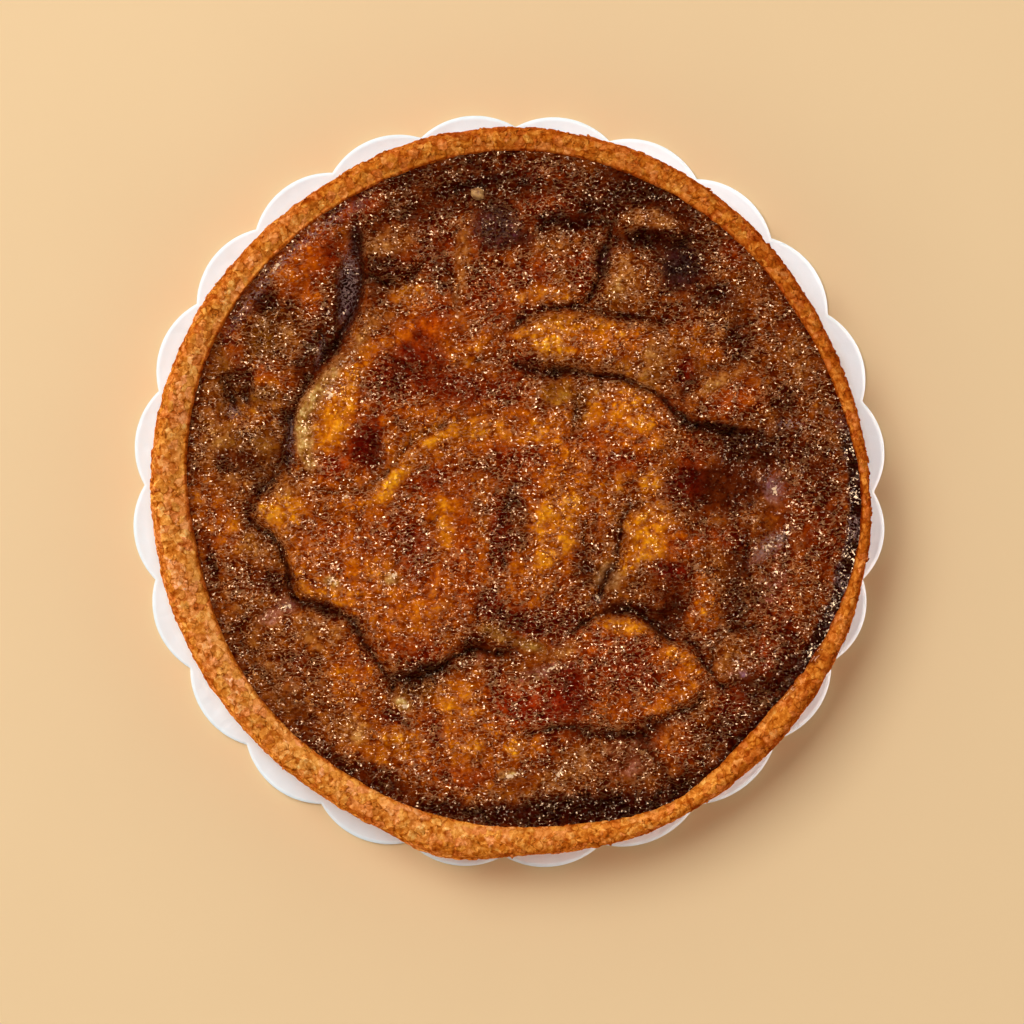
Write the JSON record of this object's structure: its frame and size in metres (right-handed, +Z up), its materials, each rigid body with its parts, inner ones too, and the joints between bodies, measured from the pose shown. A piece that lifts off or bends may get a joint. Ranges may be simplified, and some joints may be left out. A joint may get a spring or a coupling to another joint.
{
  "type": "speculoos tart",
  "caption": "Round speculoos tart: a hand-pressed shortcrust shell filled level with a dark, glossy, folded caramelised filling, on its white scalloped paper round.",
  "frame": {"origin": "middle of the paper round's underside, on the surface that the tart stands on", "axes": "+Z up, out of the filling; +X to the right and +Y to the back as the tart is seen from above, with the broad side of the rim towards -X"},
  "size_m": [0.2584, 0.2584, 0.0288],
  "materials": {
    "paper": "matt white cake paper, pressed in a scalloped edge",
    "shortcrust": "stands in for baked shortcrust: golden brown, matt, crumbly",
    "baked_filling": "stands in for a baked speculoos filling: amber to burnt brown, syrupy and grainy"
  },
  "bodies": {
    "root": {"paper_round": "paper", "crust": "shortcrust", "filling": "baked_filling"}
  },
  "joints": []
}
